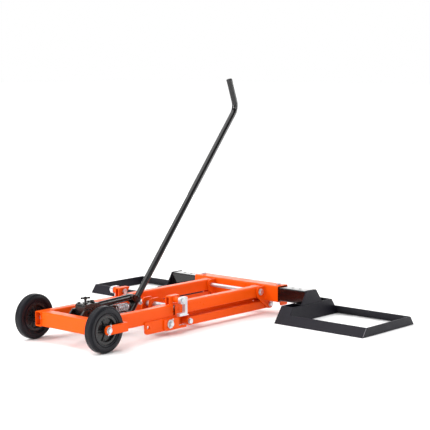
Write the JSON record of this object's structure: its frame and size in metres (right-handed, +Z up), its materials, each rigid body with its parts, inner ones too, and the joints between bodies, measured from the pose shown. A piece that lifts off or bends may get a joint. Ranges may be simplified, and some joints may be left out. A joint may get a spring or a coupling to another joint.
{
  "type": "riding mower lift jack",
  "caption": "Wheeled hydraulic lift for riding mowers: parallel arms raise a cross tube with two sliding wheel trays, pumped by a long bent handle.",
  "frame": {"origin": "on the floor, under the middle of the bounding box", "axes": "+X from the transport wheels towards the trays, +Y to the left tray, +Z up"},
  "size_m": [1.1156, 1.32, 0.8625],
  "materials": {
    "orange_coat": "gloss powder coat",
    "zinc": "bright zinc plate",
    "tyre": "matt ribbed rubber",
    "hub": "moulded black plastic",
    "tray_coat": "charcoal powder coat",
    "black_gloss": "gloss black paint",
    "black_cast": "black enamel on castings",
    "chrome": "polished hard chrome"
  },
  "bodies": {
    "chassis": {"rail_left": "orange_coat", "rail_right": "orange_coat", "rear_cross_tube": "orange_coat", "pivot_plate_left": "orange_coat", "pivot_plate_right": "orange_coat", "side_plate_left": "orange_coat", "side_plate_right": "orange_coat", "wheel_strap_left": "orange_coat", "wheel_strap_right": "orange_coat", "wheel_axle": "zinc", "roller_axle_left": "zinc", "roller_axle_right": "zinc", "hook_lug_left": "orange_coat", "hook_lug_right": "orange_coat", "hook_pin_left": "zinc", "hook_pin_right": "zinc", "arm_pivot_shaft": "zinc", "link_bolt_left": "zinc", "link_bolt_right": "zinc", "jack_bracket": "black_cast", "valve_block": "black_cast", "jack_cylinder": "black_cast", "pump_arm": "black_cast", "pump_block": "black_cast", "return_spring": "zinc"},
    "left_wheel": {"tyre_left": "tyre", "wheel_hub_left": "hub"},
    "right_wheel": {"tyre_right": "tyre", "wheel_hub_right": "hub"},
    "left_roller": {"front_roller_left": "hub"},
    "right_roller": {"front_roller_right": "hub"},
    "left_hook": {"safety_hook_left": "zinc"},
    "right_hook": {"safety_hook_right": "zinc"},
    "arms": {"lift_arm_left": "orange_coat", "lift_arm_right": "orange_coat", "arm_cross_tube": "orange_coat", "jack_lever": "orange_coat", "lever_roller": "zinc"},
    "links": {"lower_link_left": "orange_coat", "lower_link_right": "orange_coat"},
    "carriage": {"carriage_tube": "orange_coat", "carriage_plate_inner_left": "orange_coat", "carriage_plate_inner_right": "orange_coat", "carriage_plate_outer_left": "orange_coat", "carriage_plate_outer_right": "orange_coat", "carriage_bolt_left": "zinc", "carriage_bolt_right": "zinc", "carriage_shaft": "zinc"},
    "left_tray": {"tray_left": "tray_coat", "tray_arm_left": "black_gloss"},
    "right_tray": {"tray_right": "tray_coat", "tray_arm_right": "black_gloss"},
    "left_pin": {"lock_pin_left": "zinc"},
    "right_pin": {"lock_pin_right": "zinc"},
    "ram": {"ram": "chrome"},
    "plunger": {"pump_plunger": "zinc"},
    "knob": {"release_knob": "black_cast"},
    "handle": {"handle_socket": "black_cast", "clamp_screw": "zinc", "handle_tube": "black_gloss"}
  },
  "joints": [
    {"name": "lift", "type": "hinge", "parent": "chassis", "child": "arms", "pos_m": [-0.0968, 0, 0.085], "axis": [0, -1, 0], "range_deg": [0, 45]},
    {"name": "link_swing", "type": "hinge", "parent": "chassis", "child": "links", "pos_m": [-0.0408, 0, 0.033], "axis": [0, -1, 0], "range_deg": [0, 45]},
    {"name": "carriage_level", "type": "hinge", "parent": "arms", "child": "carriage", "pos_m": [0.3362, 0, 0.085], "axis": [0, -1, 0], "range_deg": [-45, 0]},
    {"name": "ram_stroke", "type": "slide", "parent": "chassis", "child": "ram", "axis": [0.9926, 0, -0.1212], "range_m": [0, 0.0386]},
    {"name": "handle_pump", "type": "hinge", "parent": "chassis", "child": "handle", "pos_m": [-0.1938, 0, 0.122], "axis": [0, 1, 0], "range_deg": [-50, 0]},
    {"name": "plunger_stroke", "type": "slide", "parent": "chassis", "child": "plunger", "axis": [1, 0, 0], "range_m": [0, 0.0237]},
    {"name": "knob_turn", "type": "hinge", "parent": "chassis", "child": "knob", "pos_m": [-0.4048, 0, 0.14], "axis": [0, 0, 1], "range_deg": [0, 270]},
    {"name": "left_wheel_spin", "type": "hinge", "parent": "chassis", "child": "left_wheel", "pos_m": [-0.4818, 0.168, 0.076], "axis": [0, 1, 0], "continuous": true},
    {"name": "left_roller_spin", "type": "hinge", "parent": "chassis", "child": "left_roller", "pos_m": [-0.1548, 0.0864, 0.042], "axis": [0, 1, 0], "continuous": true},
    {"name": "left_hook_swing", "type": "hinge", "parent": "chassis", "child": "left_hook", "pos_m": [-0.1138, 0.1645, 0.118], "axis": [0, 1, 0], "range_deg": [-100, 0]},
    {"name": "left_tray_slide", "type": "slide", "parent": "carriage", "child": "left_tray", "axis": [0, 1, 0], "range_m": [-0.066, 0.066]},
    {"name": "left_pin_pull", "type": "slide", "parent": "carriage", "child": "left_pin", "axis": [0, 0, 1], "range_m": [0, 0.025]},
    {"name": "right_wheel_spin", "type": "hinge", "parent": "chassis", "child": "right_wheel", "pos_m": [-0.4818, -0.168, 0.076], "axis": [0, 1, 0], "continuous": true},
    {"name": "right_roller_spin", "type": "hinge", "parent": "chassis", "child": "right_roller", "pos_m": [-0.1548, -0.0864, 0.042], "axis": [0, 1, 0], "continuous": true},
    {"name": "right_hook_swing", "type": "hinge", "parent": "chassis", "child": "right_hook", "pos_m": [-0.1138, -0.1645, 0.118], "axis": [0, 1, 0], "range_deg": [-100, 0]},
    {"name": "right_tray_slide", "type": "slide", "parent": "carriage", "child": "right_tray", "axis": [0, -1, 0], "range_m": [-0.066, 0.066]},
    {"name": "right_pin_pull", "type": "slide", "parent": "carriage", "child": "right_pin", "axis": [0, 0, 1], "range_m": [0, 0.025]}
  ],
  "couplings": [
    {"joint": "link_swing", "follows": "lift", "ratio": 1},
    {"joint": "carriage_level", "follows": "lift", "ratio": -1},
    {"joint": "ram_stroke", "follows": "lift", "m_per_rad": 0.04872},
    {"joint": "plunger_stroke", "follows": "handle_pump", "m_per_rad": -0.0269}
  ]
}
